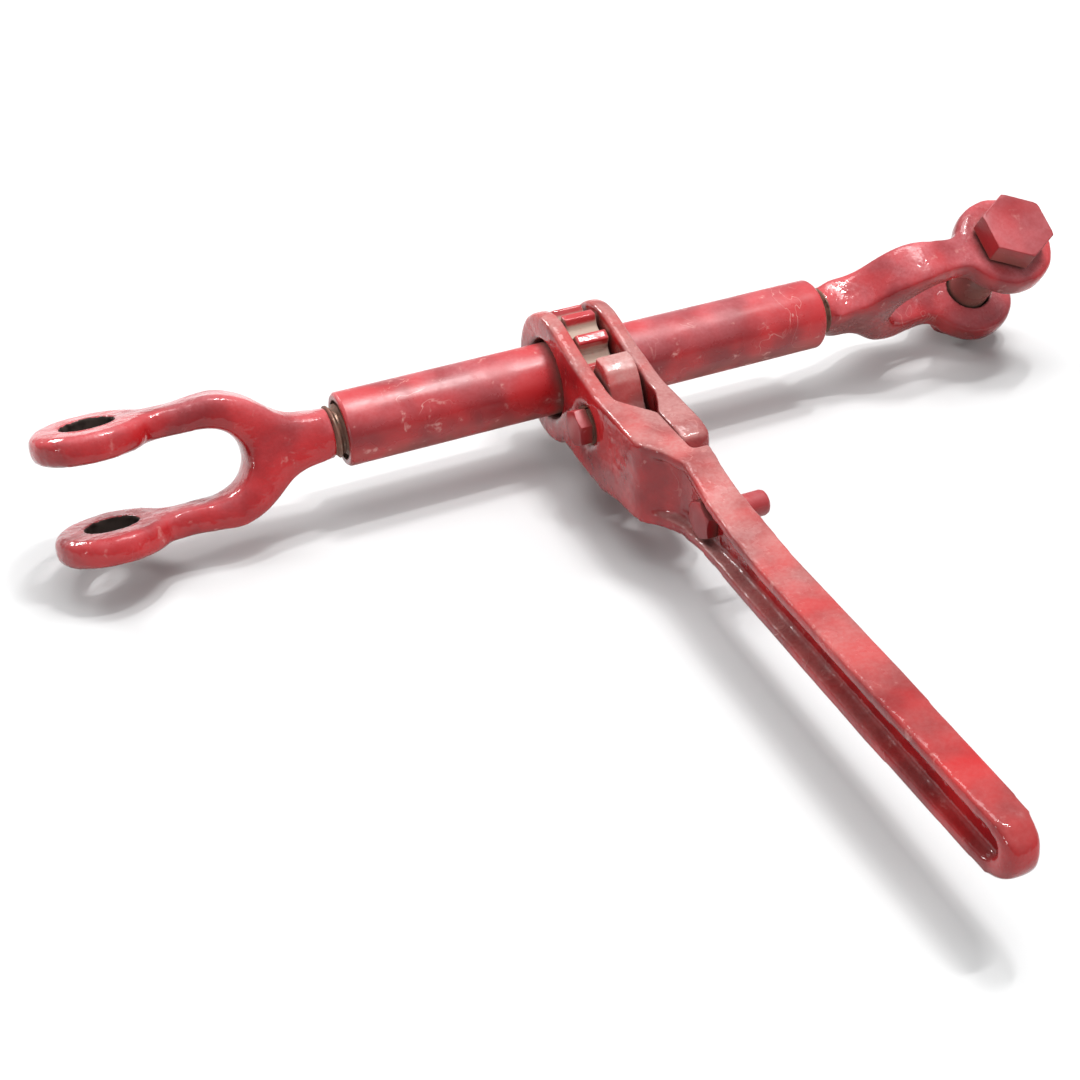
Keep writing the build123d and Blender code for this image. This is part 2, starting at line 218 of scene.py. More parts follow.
class Surface(Enum):
    """What lies under the paint, as the width and height in mm of the relief that shows through it."""

    FORGED = (4.5, 0.42)
    TURNED = (1.2, 0.02)
    MACHINED = (1.6, 0.05)


@dataclass(frozen=True)
class RedEnamel:
    """Alkyd enamel dipped or sprayed over steel, then used outdoors.

    A hard gloss film (IOR about 1.5) gives small sharp lights; a film of dry dust turns what faces up
    pinkish and matt; earth and old grease fill the inner corners; painted shade darkens them and the
    undersides.
    """

    name: str
    surface: Surface
    red: str = "#AE1D20"
    deep: str = "#7E1217"
    haze: str = "#CD8489"
    # Colour of the grime in corners and of the splash below, which also paints the shade there.
    grime_and_shade: str = "#6F564B"
    scuff: str = "#C98E88"
    haze_share: float = 0.55
    # Share of grime and painted shade in the inner corners.
    corner_grime_and_shade_share: float = 0.8
    scuff_share: float = 0.5
    # Share of splash and painted shade on the undersides.
    underside_splash_and_shade_share: float = 0.5
    bare_edges: float = 0.0
    film_rough: float = 0.13
    packed_below_mm: float = 0.0
    handled: bool = False
    gloss: float = 0.7

    def dust(self, g: Graph) -> bpy.types.NodeSocket:
        """Share of dust: it settles on what faces up, in wiped patches about 22 mm across."""
        wiped = g.span(g.grain(22, 3, 0.3), 0.25, 0.72, 0.35, 1.0)
        fine = g.span(g.grain(1.6, 3), 0.3, 0.7, 0.75, 1.0)
        dust = g.scaled(g.facing_up(0.1, 0.95), wiped, fine, self.haze_share)
        if not self.handled:
            return dust
        # Hands keep the grip clean: the dust thins out from the yoke to the tip.
        along = g.node("ShaderNodeSeparateXYZ", None, {0: g.place}).outputs[1]
        return g.scaled(dust, g.span(along, GRIP_CLEAN_Y, GRIP_DUSTY_Y, 0.25, 1.0))

    def scuffs(self, g: Graph) -> bpy.types.NodeSocket:
        """Share of scuffs: thin pale lines and rubs where chain and gravel wore the film."""
        off_middle = g.sum("ABSOLUTE", g.sum("SUBTRACT", g.grain(16, 2, 1.2), 0.5))
        line = g.scaled(g.rest(g.span(off_middle, 0.003, 0.012)), g.span(g.grain(34, 2), 0.58, 0.7))
        rub = g.scaled(g.span(g.grain(7, 5, 0.4), 0.62, 0.72), g.span(g.grain(2.2, 3), 0.4, 0.6))
        return g.scaled(g.sum("MAXIMUM", line, rub), self.scuff_share)

    def packed(self, g: Graph) -> bpy.types.NodeSocket:
        """Share of dust packed between the teeth, up to packed_below_mm from the barrel's axis."""
        across = g.node("ShaderNodeMapping", None, {"Vector": g.place, "Scale": (0, 1, 1)}).outputs[0]
        radius = g.node("ShaderNodeVectorMath", {"operation": "LENGTH"}, {0: across}).outputs["Value"]
        deep = g.span(radius, self.packed_below_mm * MM, (self.packed_below_mm - 2) * MM)
        return g.scaled(deep, g.span(g.grain(3, 4), 0.2, 0.5, 0.6, 1.0))

    def make(self) -> bpy.types.Material:
        """Build the material.

        Returns:
            The finished Blender material.
        """
        g = Graph(self.name)
        # The film's own colour: thicker and darker in patches about 25 mm across.
        tone = g.span(g.grain(25, 2), 0.35, 0.68)
        colour = g.blend(tone, linear(self.red), linear(self.deep))
        dust = self.dust(g)
        colour = g.blend(dust, colour, linear(self.haze))
        # Undersides carry brown splash, with painted shade: faces turned down are darkened in the grime
        # colour.
        splash = g.span(g.grain(14, 4), 0.3, 0.6)
        underside_splash_and_shade = g.scaled(g.rest(g.facing_up(-0.75, 0.05)), splash, self.underside_splash_and_shade_share)
        colour = g.blend(underside_splash_and_shade, colour, linear(self.grime_and_shade))
        colour = g.blend(self.scuffs(g), colour, linear(self.scuff))
        # Earth and grease in the inner corners, with painted shade: the ambient occlusion mask darkens
        # corners and recesses in the grime colour.
        patches = g.span(g.grain(5, 4), 0.25, 0.6, 0.55, 1.0)
        corner = g.scaled(g.hidden(7, 0.22, 0.75), patches, self.corner_grime_and_shade_share)
        colour = g.blend(corner, colour, linear(self.grime_and_shade))
        if self.packed_below_mm:
            packed = self.packed(g)
            colour = g.blend(packed, colour, linear(self.grime_and_shade))
            corner = g.sum("MAXIMUM", corner, packed)
        # Grime, splash and the painted shade in corners and below also roughen the film.
        grime_and_shade_mask = g.sum("MAXIMUM", corner, underside_splash_and_shade)
        rough = g.sum("ADD", self.film_rough, g.scaled(g.grain(9, 3), 0.1))
        rough = g.sum("ADD", rough, g.scaled(dust, 0.45))
        rough = g.sum("ADD", rough, g.scaled(grime_and_shade_mask, 0.55))
        if self.bare_edges:
            chips = g.span(g.grain(3, 4), 0.35, 0.6)
            edge = g.scaled(g.hidden(2.2, 0.4, 0.62, inside=True), chips, self.bare_edges)
            colour = g.blend(edge, colour, linear(WORN_STEEL))
            rough = g.sum("ADD", rough, g.scaled(edge, 0.25))
        # Where rain washed it, the film's own gloss still shows as small hard lights.
        washed = g.scaled(g.span(g.grain(11, 3), 0.36, 0.56), g.rest(grime_and_shade_mask))
        rough = g.scaled(rough, g.rest(g.scaled(washed, self.gloss)))
        rough = g.sum("MAXIMUM", g.sum("MINIMUM", rough, MOST_ROUGH), LEAST_ROUGH)
        relief = g.bump(*self.surface.value, detail=2)
        return g.finish({"Base Color": colour, "Roughness": rough, "IOR": ENAMEL_IOR, "Normal": relief})


@dataclass(frozen=True)
class BareSteel:
    """Bare mild or spring steel, cut or drawn, with grease and a bloom of rust in it.

    Gives a dull grey-brown metal with orange-brown patches that have lost their shine.
    """

    name: str
    metal: str = "#6E6761"
    rust: str = "#5B3A28"
    grease: str = "#2B2522"
    rust_share: float = 0.6
    grease_share: float = 0.5
    rough: float = 0.42

    def make(self) -> bpy.types.Material:
        """Build the material and return it."""
        g = Graph(self.name)
        rust = g.scaled(g.span(g.grain(4, 5), 0.4, 0.6), self.rust_share)
        grease = g.scaled(g.hidden(4, 0.2, 0.7), self.grease_share)
        colour = g.blend(rust, linear(self.metal), linear(self.rust))
        colour = g.blend(grease, colour, linear(self.grease))
        rough = g.sum("MINIMUM", g.sum("ADD", self.rough, g.scaled(rust, 0.45)), MOST_ROUGH)
        return g.finish({
            "Base Color": colour, "Metallic": g.rest(g.sum("MAXIMUM", rust, grease)), "Roughness": rough,
            "Normal": g.bump(0.8, 0.03, detail=3),
        })


FINISHES = {
    made.name: made
    for made in (
        RedEnamel("barrel_enamel", Surface.TURNED, haze_share=0.42, scuff_share=0.75, bare_edges=0.9,
                  film_rough=0.26, gloss=0.25),
        # The forging's dark red grime also paints the shade in the well under its top flange.
        RedEnamel("forging_enamel", Surface.FORGED, grime_and_shade="#5E3B36", haze="#B68884", haze_share=0.78,
                  scuff_share=0.35, handled=True),
        RedEnamel("jaw_enamel", Surface.FORGED, grime_and_shade="#664640", haze_share=0.5, scuff_share=0.35,
                  film_rough=0.14),
        RedEnamel("gear_enamel", Surface.MACHINED, grime_and_shade="#A99486", haze_share=0.4, packed_below_mm=28.6),
        RedEnamel("pawl_enamel", Surface.MACHINED, grime_and_shade="#94807A", haze="#BC9893", haze_share=0.95),
        RedEnamel("bolt_enamel", Surface.MACHINED, red="#9A1D20", haze_share=0.32, scuff_share=0.25,
                  film_rough=0.36, gloss=0.2),
        RedEnamel("rubbed_shank_enamel", Surface.TURNED, red="#7E4A45", deep="#5E3A36", haze="#93817A",
                  haze_share=0.7),
        BareSteel("greased_thread_steel", metal="#8C7264", rust="#7A4F41", rust_share=0.85,
                  grease_share=0.3),
        BareSteel("greased_bore_steel", metal="#4A403C", rust="#3B2C26", rust_share=0.5, rough=0.5),
        BareSteel("spring_steel", metal="#7A7A7C", rust_share=0.15),
        BareSteel("weld_bead_steel", metal="#5A5552", rust_share=0.35, rough=0.55),
    )
}
MATERIALS: dict[str, bpy.types.Material] = {}


def coat(name: str) -> bpy.types.Material:
    """Give the material of that finish, made the first time that it is asked for."""
    if name not in MATERIALS:
        MATERIALS[name] = FINISHES[name].make()
    return MATERIALS[name]


# ---------------------------------------------------------------- mesh helpers
def merged_copy(node: str) -> bmesh.types.BMesh:
    """Copy a CAD node's mesh with its loose triangles joined up."""
    bm = bmesh.new()
    bm.from_mesh(frame["nodes"][node].data)
    bmesh.ops.remove_doubles(bm, verts=bm.verts, dist=0.002 * MM)
    return bm


def cut_off(bm: bmesh.types.BMesh, place: Vector, outward: float) -> None:
    """Cut away what lies past a place along X, on the side that outward's sign gives."""
    bmesh.ops.bisect_plane(
        bm, geom=bm.verts[:] + bm.edges[:] + bm.faces[:], dist=1e-7, plane_co=place,
        plane_no=(outward, 0, 0), clear_outer=True,
    )


def capped(bm: bmesh.types.BMesh) -> bmesh.types.BMesh:
    """Close a shape's open ends and turn its faces outward."""
    bmesh.ops.holes_fill(bm, edges=[e for e in bm.edges if e.is_boundary], sides=0)
    bmesh.ops.recalc_face_normals(bm, faces=bm.faces)
    return bm


def link(name: str, data: bpy.types.ID) -> bpy.types.Object:
    """Put a new object with that data in the scene."""
    made = bpy.data.objects.new(name, data)
    bpy.context.scene.collection.objects.link(made)
    return made


def shown(
    bm: bmesh.types.BMesh, name: str, body: str, finish: str, nodes: Sequence[str] = (),
    crease: float = 40, inner: tuple[str, Callable[[Vector], bool]] | None = None,
) -> bpy.types.Object:
    """Turn a finished bmesh into a piece of the object.

    Args:
        bm: the shape, which is freed.
        name: the piece's name.
        body: CAD body that it rides on.
        finish: name of its finish.
        nodes: CAD nodes that it stands for.
        crease: angle in degrees above which an edge stays sharp in shading.
        inner: finish of the faces whose middle passes the test that goes with it.

    Returns:
        The piece.
    """
    for face in bm.faces:
        face.smooth = True
        if inner and inner[1](face.calc_center_median()):
            face.material_index = 1
    limit = math.radians(crease)
    for edge in bm.edges:
        if edge.is_manifold and edge.calc_face_angle(0) > limit:
            edge.smooth = False
    mesh = bpy.data.meshes.new(name)
    bm.to_mesh(mesh)
    bm.free()
    mesh.materials.append(coat(finish))
    if inner:
        mesh.materials.append(coat(inner[0]))
    piece = link(name, mesh)
    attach(piece, body)
    if nodes:
        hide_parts(*nodes)
    log.info("%s: %d faces on %s", name, len(mesh.polygons), body)
    return piece


def dress(node: str, finish: str) -> None:
    """Give a carried-over CAD node its finish."""
    owner = frame["nodes"][node]
    if not owner.material_slots:
        owner.data.materials.append(None)
    for slot in owner.material_slots:
        slot.material = coat(finish)
    log.info("%s: CAD node in %s", node, finish)


def remeshed(bm: bmesh.types.BMesh, voxel_mm: float) -> bmesh.types.BMesh:
    """Rebuild a closed shape as an even skin of small quads.

    Args:
        bm: the closed shape, which is freed.
        voxel_mm: edge of one quad.

    Returns:
        The even skin.
    """
    mesh = bpy.data.meshes.new("blank")
    bm.to_mesh(mesh)
    bm.free()
    blank = link("blank", mesh)
    remesh = blank.modifiers.new("even", "REMESH")
    remesh.mode = "VOXEL"
    remesh.voxel_size = voxel_mm * MM
    graph = bpy.context.evaluated_depsgraph_get()
    even = bmesh.new()
    even.from_object(blank, graph)
    bpy.data.objects.remove(blank)
    bpy.data.meshes.remove(mesh)
    return even


def relax(bm: bmesh.types.BMesh, passes: Callable[[Vector], int]) -> None:
    """Round an even skin's edges, as drop forging does, by as many smoothing passes as each place asks."""
    asked = [(passes(vert.co), vert) for vert in bm.verts]
    for step in range(max(count for count, _ in asked)):
        moving = [vert for count, vert in asked if count > step]
        bmesh.ops.smooth_vert(
            bm, verts=moving, factor=0.5, use_axis_x=True, use_axis_y=True, use_axis_z=True
        )


def scale_skin(bm: bmesh.types.BMesh, rough: Callable[[Vector], float], size_mm: float, seed: float) -> None:
    """Sink the skin by noise, for the unevenness of forging scale under the paint.

    Args:
        bm: the skin.
        rough: depth in mm at a place.
        size_mm: width of one dip.
        seed: shift of the noise.
    """
    bm.normal_update()
    shift = Vector((seed, -seed, seed * 2))

    def sunk(vert: bmesh.types.BMVert) -> Vector:
        """How far the noise sinks one point."""
        share = 0.5 + 0.5 * noise.noise(vert.co / (size_mm * MM) + shift)
        return vert.normal * (rough(vert.co) * MM * share)

    for vert, move in [(vert, sunk(vert)) for vert in bm.verts]:
        vert.co -= move


def turned(profile: Sequence[tuple[float, float]], steps: int, closed: bool = True) -> bmesh.types.BMesh:
    """Turn a profile of (x, radius) pairs in mm about the X axis.

    Args:
        profile: points of the profile in order.
        steps: facets round the axis.
        closed: whether the last point joins the first.

    Returns:
        The turned shape.
    """
    bm = bmesh.new()
    verts = [bm.verts.new((x * MM, 0, r * MM)) for x, r in profile]
    pairs = list(zip(verts, verts[1:])) + ([(verts[-1], verts[0])] if closed else [])
    for pair in pairs:
        bm.edges.new(pair)
    bmesh.ops.spin(
        bm, geom=bm.verts[:] + bm.edges[:], cent=(0, 0, 0), axis=(1, 0, 0), dvec=(0, 0, 0),
        angle=2 * math.pi, steps=steps, use_merge=True, use_duplicate=False,
    )
    bmesh.ops.remove_doubles(bm, verts=bm.verts, dist=0.001 * MM)
    bmesh.ops.recalc_face_normals(bm, faces=bm.faces)
    return bm


def hex_blank(flats_mm: float, height_mm: float, chamfer_mm: float) -> bmesh.types.BMesh:
    """Hexagon that stands on z = 0, its corners cut by a 30 degree cone at the top.

    Args:
        flats_mm: width across the flats.
        height_mm: height.
        chamfer_mm: how far the cone starts inside the corners.

    Returns:
        The closed shape, with a corner on local Y.
    """
    corner = flats_mm / 2 / math.cos(math.pi / 6)
    bm = bmesh.new()
    bmesh.ops.create_circle(bm, cap_ends=False, segments=6, radius=corner * MM)
    bmesh.ops.subdivide_edges(bm, edges=bm.edges[:], cuts=9, use_grid_fill=False)
    walls = bmesh.ops.extrude_edge_only(bm, edges=bm.edges[:])["geom"]
    top = [v for v in walls if isinstance(v, bmesh.types.BMVert)]
    start = (corner - chamfer_mm) * MM
    for vert in top:
        past = max(0.0, vert.co.xy.length - start)
        vert.co.z = height_mm * MM - past * math.tan(math.pi / 6)
    rim = [e for e in walls if isinstance(e, bmesh.types.BMEdge) and all(v in set(top) for v in e.verts)]
    inner = bmesh.ops.extrude_edge_only(bm, edges=rim)["geom"]
    for vert in (v for v in inner if isinstance(v, bmesh.types.BMVert)):
        radius = min(start, vert.co.xy.length) * 0.97
        vert.co.xy = vert.co.xy.normalized() * radius
        vert.co.z = height_mm * MM
    return capped(bm)


def rounded(bm: bmesh.types.BMesh, width_mm: float, least: float = 35) -> None:
    """Break the edges sharper than least degrees with a small round of width_mm."""
    limit = math.radians(least)
    sharp = [e for e in bm.edges if e.is_manifold and e.calc_face_angle(0) > limit]
    bmesh.ops.bevel(
        bm, geom=sharp, offset=width_mm * MM, offset_type="OFFSET", segments=3, profile=0.5,
        affect="EDGES", clamp_overlap=True, material=-1,
    )


def joined(parts: Sequence[bmesh.types.BMesh]) -> bmesh.types.BMesh:
    """Put several shapes in one bmesh and free them."""
    whole = bmesh.new()
    for part in parts:
        mesh = bpy.data.meshes.new("part")
        part.to_mesh(mesh)
        part.free()
        whole.from_mesh(mesh)
        bpy.data.meshes.remove(mesh)
    return whole


# ---------------------------------------------------------------- sub-assemblies
def box_mm(node: str) -> tuple[Vector, Vector]:
    """Lowest and highest corner of a CAD node at rest, in mm."""
    low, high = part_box(node)
    return low / MM, high / MM


def mount(name: str) -> dict:
    """The record's mount of that name."""
    return next(entry for entry in frame["record"]["mounts"] if entry["name"] == name)


@dataclass
class Barrel:
    """Drawn tube with its threaded inserts, the ratchet gear and the gear's welds, in mm."""

    wall: float = 3.5
    chamfer: float = 1.2
    facets: int = 128
    ring_step: float = 4.0
    edge_round: float = 0.35
    dent_depth: float = 0.16
    left: float = field(init=False)
    right: float = field(init=False)
    radius: float = field(init=False)
    bore: float = field(init=False)

    def __post_init__(self) -> None:
        """Take the tube's ends and radius from the CAD."""
        low, high = box_mm("barrel_tube")
        self.left, self.right, self.radius = low.x, high.x, high.z
        self.bore = self.radius - self.wall

    def tube(self) -> None:
        """Build the tube, with the slight dents of a used one."""
        rings = int((self.right - self.left) / self.ring_step)
        first, last = self.left + self.chamfer, self.right - self.chamfer
        outside = [(first + (last - first) * i / rings, self.radius) for i in range(rings + 1)]
        profile = [
            (self.left, self.bore), (self.left, self.radius - self.chamfer), *outside,
            (self.right, self.radius - self.chamfer), (self.right, self.bore),
        ]
        bm = turned(profile, self.facets)
        rounded(bm, self.edge_round)
        outer = self.radius * MM * 0.97
        scale_skin(bm, lambda p: self.dent_depth if p.yz.length > outer else 0.0, 30, 3.1)
        shown(bm, "barrel_body", "barrel", "barrel_enamel", ["barrel_tube"])

    def gear(self) -> None:
        """Build the gear with its worn tooth edges."""
        bm = remeshed(merged_copy("ratchet_gear"), 0.6)
        relax(bm, lambda p: 7)
        scale_skin(bm, lambda p: 0.15, 5, 1.7)
        shown(bm, "ratchet_wheel", "barrel", "gear_enamel", ["ratchet_gear"])

    def build(self) -> None:
        """Build and dress the whole sub-assembly."""
        self.tube()
        self.gear()
        for side in ("left", "right"):
            dress(f"{side}_thread_insert", "greased_thread_steel")
        dress("gear_welds", "weld_bead_steel")


@dataclass
class Jaw:
    """Fork and screw of one end, with the stop at the screw's inner end, in mm.

    The passes say how often each zone of the fork's skin is smoothed: few where a tool cut it, many where
    the forging is thick.
    """

    side: str
    sign: int
    mount_name: str
    hole_r: float = 11.9
    thread_r: float = 12.5
    root_r: float = 10.9
    pitch: float = 25.4 / 6
    inside: float = 108.0
    bare: float = 5.0
    seed: float = 0.0
    turn_steps: int = 40
    voxel: float = 0.95
    scale_depth: float = 0.4
    hole_rim: float = 1.6
    ear_ring: float = 11.0
    bend_from: float = 8.0
    bend_to: float = 66.0
    hole_passes: int = 4
    neck_passes: int = 5
    bend_passes: int = 120
    arm_passes: int = 75
    ear_passes: int = 30
    end_x: float = field(init=False)

    def __post_init__(self) -> None:
        """Take the barrel's end from the CAD."""
        low, high = box_mm("barrel_tube")
        self.end_x = high.x if self.sign > 0 else -low.x

    def pin(self) -> Vector:
        """Direction of the pin's axis."""
        return Vector(mount(self.mount_name)["axis"]).normalized()

    def pin_centre(self) -> Vector:
        """Point where the pin's axis crosses the screw's."""
        return Vector((mount(self.mount_name)["pos_m"][0], 0, 0))

    def from_pin(self, place: Vector) -> float:
        """Distance of a place from the pin's axis."""
        arm = place - self.pin_centre()
        return (arm - self.pin() * arm.dot(self.pin())).length

    def past_end(self, along: float) -> Vector:
        """Point on the axis, along mm outside the barrel's end."""
        return Vector((self.sign * (self.end_x + along) * MM, 0, 0))

    def fork(self) -> None:
        """Build the forged fork with its soft edges and its reamed holes."""
        bm = merged_copy(f"{self.side}_clevis")
        cut = self.past_end(self.bare - 0.5)
        cut_off(bm, cut, -self.sign)
        bm = remeshed(capped(bm), self.voxel)
        hole = (self.hole_r + self.hole_rim) * MM
        arm = (self.hole_r + self.ear_ring) * MM
        collar = abs(cut.x) + 2.0 * MM
        bend = (self.end_x + self.bend_from) * MM, (self.end_x + self.bend_to) * MM

        def passes(place: Vector) -> int:
            """Few passes at the reamed hole and the neck's end, many on the thick bend."""
            if self.from_pin(place) < hole:
                return self.hole_passes
            if abs(place.x) < collar:
                return self.neck_passes
            if bend[0] < abs(place.x) < bend[1]:
                return self.bend_passes
            return self.arm_passes if self.from_pin(place) > arm else self.ear_passes

        relax(bm, passes)
        scale_skin(bm, lambda p: 0.0 if self.from_pin(p) < hole else self.scale_depth, 9, self.seed)
        reamed = (self.hole_r + 0.35) * MM
        shown(
            bm, f"{self.side}_jaw_fork", f"{self.side}_jaw", "jaw_enamel",
            [f"{self.side}_clevis"], crease=FORGED_CREASE,
            inner=("greased_bore_steel", lambda p: self.from_pin(p) < reamed),
        )

    def screw(self) -> None:
        """Build the screw with a real helical thread, left-handed on the left."""
        bm = bmesh.new()
        start = -(self.inside + 2 * self.pitch)
        # One tooth of the thread: share of the pitch and radius.
        crest = self.thread_r - 0.05
        form = ((0.0, self.root_r), (0.12, self.root_r), (0.42, crest), (0.58, crest), (0.88, self.root_r),
                (1.0, self.root_r))
        verts = [bm.verts.new((self.past_end(start + t * self.pitch).x, 0, r * MM)) for t, r in form]
        for pair in zip(verts, verts[1:]):
            bm.edges.new(pair)
        turns = math.ceil((self.inside + self.bare) / self.pitch) + 4
        bmesh.ops.spin(
            bm, geom=bm.verts[:] + bm.edges[:], cent=(0, 0, 0), axis=(1, 0, 0),
            dvec=(self.sign * self.pitch * MM / self.turn_steps, 0, 0),
            angle=2 * math.pi * turns * self.sign, steps=turns * self.turn_steps,
            use_merge=False, use_duplicate=False,
        )
        bmesh.ops.remove_doubles(bm, verts=bm.verts, dist=0.01 * MM)
        cut_off(bm, self.past_end(-self.inside), -self.sign)
        cut_off(bm, self.past_end(self.bare), self.sign)
        shown(
            capped(bm), f"{self.side}_jaw_screw", f"{self.side}_jaw", "greased_thread_steel",
            [f"{self.side}_clevis"],
        )

    def build(self) -> None:
        """Build and dress the whole sub-assembly."""
        self.fork()
        self.screw()
        for part in ("stop_washer", "stop_screw"):
            dress(f"{self.side}_{part}", "greased_thread_steel")


@dataclass
class ClevisBolt:
    """Hexagon bolt and nut across the right jaw, in mm."""

    jaw: Jaw
    ear_out: float = 29.8
    play: float = 0.1
    head_gap: float = 1.8
    flats: float = 33.3
    head: float = 11.4
    nut: float = 9.0
    tail: float = 2.0
    shank_r: float = 11.1

    def placed(self, bm: bmesh.types.BMesh, along: float, turn_over: bool = False) -> bmesh.types.BMesh:
        """Move a shape from z = 0 to along mm on the bolt's axis, with a corner across the barrel."""
        pin, out = self.jaw.pin(), Vector((self.jaw.sign, 0, 0))
        lift = self.jaw.pin_centre() + pin * along * MM
        if turn_over:
            pin, out = -pin, -out
        turn = Matrix((out, pin.cross(out), pin)).transposed().to_4x4()
        bm.transform(Matrix.Translation(lift) @ turn)
        return bm

    def build(self) -> None:
        """Build bolt and nut."""
        seat = self.ear_out + self.head_gap
        head = hex_blank(self.flats, self.head, 1.0)
        rounded(head, 0.7)
        self.placed(head, seat)
        end = -(self.ear_out + self.play + self.nut + self.tail)
        root, r, point = seat + 1, self.shank_r, 1.5
        shank = turned([(end, 0), (end, r - point), (end + point, r), (root, r), (root, 0)], 64, False)
        shank.transform(Matrix.Rotation(-math.pi / 2, 4, "Y"))
        self.placed(shank, 0)
        rubbed_r, rubbed_z = (self.shank_r + 0.1) * MM, self.ear_out * MM
        shown(
            joined([head, shank]), "jaw_hex_bolt", "jaw_bolt", "bolt_enamel", ["clevis_bolt"],
            inner=("rubbed_shank_enamel", lambda p: self.jaw.from_pin(p) < rubbed_r and abs(p.z) < rubbed_z),
        )
        nut = hex_blank(self.flats, self.nut, 1.6)
        rounded(nut, 0.4)
        self.placed(nut, -(self.ear_out + self.play), turn_over=True)
        shown(nut, "jaw_hex_nut", "jaw_bolt", "bolt_enamel", ["clevis_nut"])


@dataclass
class Handle:
    """Forged handle, side plate and the two bolts that hold them together, in mm.

    The places along Y part the tip, the grip, the ear's well and the yoke from each other; each zone of
    the skin has its own number of smoothing passes.
    """

    voxel: float = 0.85
    scale_depth: float = 0.2
    recess_r: float = 12.2
    bore_gap: float = 0.35
    bore_reach: float = 4.0
    shank_r: float = 5.7
    tip_y: float = -338.0
    grip_y: float = -122.0
    ear_y: float = -99.0
    yoke_y: float = -52.0
    boss_x: float = -10.5
    boss_mm: tuple[float, float, float] = (-18.0, -81.0, 0.0)
    boss_face_x: float = -15.5
    plate_face_x: float = 12.5
    soft_passes: int = 45
    flange_passes: int = 12
    well_passes: int = 14
    yoke_passes: int = 30
    plate_passes: int = 40

    def dished(self, outer_x: float, floor_x: float, washer_r: float) -> list[tuple[float, float]]:
        """Profile of the sloping metal between the pawl bolt's washer and the flat of the boss.

        Args:
            outer_x: outer face of the washer, in mm.
            floor_x: floor that the washer lies on.
            washer_r: the washer's radius.

        Returns:
            Closed profile of (x, radius) pairs.
        """
        near, far = washer_r + 0.3, self.recess_r + 1.0
        return [(floor_x + 1.0, near), (outer_x + 0.9, near), (outer_x + 0.1, far), (floor_x + 1.0, far)]

    def ream(self, bm: bmesh.types.BMesh) -> None:
        """Open the plunger's bore in the skin back to its full width."""
        low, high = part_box("pawl_plunger")
        axis = (low + high) / 2
        radius = (high.x - low.x) / 2 + self.bore_gap * MM
        for vert in bm.verts:
            arm = Vector((vert.co.x - axis.x, 0, vert.co.z - axis.z))
            if low.y - self.bore_reach * MM < vert.co.y < high.y and 0 < arm.length < radius:
                vert.co += arm.normalized() * (radius - arm.length)

    def forging(self) -> None:
        """Build the handle forging."""
        bm = merged_copy("handle_forging")
        low, high = box_mm("pawl_bolt_washer")
        collar = turned(self.dished(low.x, high.x, (high.z - low.z) / 2), 64)
        centre = Vector((0, (low.y + high.y) / 2, (low.z + high.z) / 2)) * MM
        bmesh.ops.translate(collar, verts=collar.verts, vec=centre)
        bm = remeshed(joined([bm, collar]), self.voxel)

        def passes(place: Vector) -> int:
            """Soft edges on the tip, the boss's outside and the ear, crisper ones on flanges and well."""
            x, y = place.x / MM, place.y / MM
            if y < self.tip_y:
                return self.soft_passes
            if y < self.grip_y or x > self.boss_x:
                return self.flange_passes
            if y < self.ear_y:
                return self.well_passes
            return self.soft_passes if y < self.yoke_y else self.yoke_passes

        relax(bm, passes)
        scale_skin(bm, lambda p: self.scale_depth, 10, 5.3)
        self.ream(bm)
        scale_skin(bm, self.die_marks, 3.2, 9.9)
        shown(
            bm, "forged_handle", "handle", "forging_enamel", ["handle_forging"],
            crease=FORGED_CREASE,
        )

    def die_marks(self, place: Vector) -> float:
        """Depth in mm of the shapeless wear that the dies left on the boss's outer face."""
        if place.x > self.boss_face_x * MM:
            return 0.0
        off = (place / MM - Vector(self.boss_mm)).length
        return max(0.0, 1.3 - 0.075 * off)

    def plate(self) -> None:
        """Build the side plate."""
        bm = remeshed(merged_copy("side_plate"), self.voxel)
        relax(bm, lambda p: self.plate_passes if p.x > self.plate_face_x * MM else self.well_passes)
        scale_skin(bm, lambda p: self.scale_depth, 10, 8.9)
        shown(
            bm, "bolted_side_plate", "handle", "forging_enamel", ["side_plate"],
            crease=FORGED_CREASE,
        )

    def bolt(self, name: str, node: str, head: float) -> None:
        """Build one hexagon bolt along X with its head, head mm high, to the left."""
        low, high = box_mm(node)
        y, z = (low.y + high.y) / 2, (low.z + high.z) / 2
        seat_x, end_x = low.x + head, high.x
        top = hex_blank(min(high.y - low.y, high.z - low.z), head, 1.2)
        rounded(top, 0.5)
        top.transform(Matrix.Rotation(math.pi / 2, 4, "Z"))
        top.transform(Matrix.Rotation(-math.pi / 2, 4, "Y"))
        top.transform(Matrix.Translation((seat_x * MM, 0, 0)))
        r = self.shank_r
        shank = turned([
            (seat_x - 0.5, 0), (seat_x - 0.5, r), (end_x - 2.2, r), (end_x - 0.9, r - 0.5),
            (end_x - 0.25, r - 1.4), (end_x, r - 3.0), (end_x, 0),
        ], 48, False)
        bm = joined([top, shank])
        bmesh.ops.translate(bm, verts=bm.verts, vec=(0, y * MM, z * MM))
        shown(bm, name, "handle", "bolt_enamel", [node])

    def build(self) -> None:
        """Build and dress the whole sub-assembly."""
        self.forging()
        self.plate()
        self.bolt("pawl_pivot_bolt", "pawl_bolt", 6.2)
        self.bolt("handle_clamp_bolt", "handle_bolt", 5.2)
        dress("pawl_bolt_washer", "greased_thread_steel")
        dress("pawl_sleeve", "greased_thread_steel")


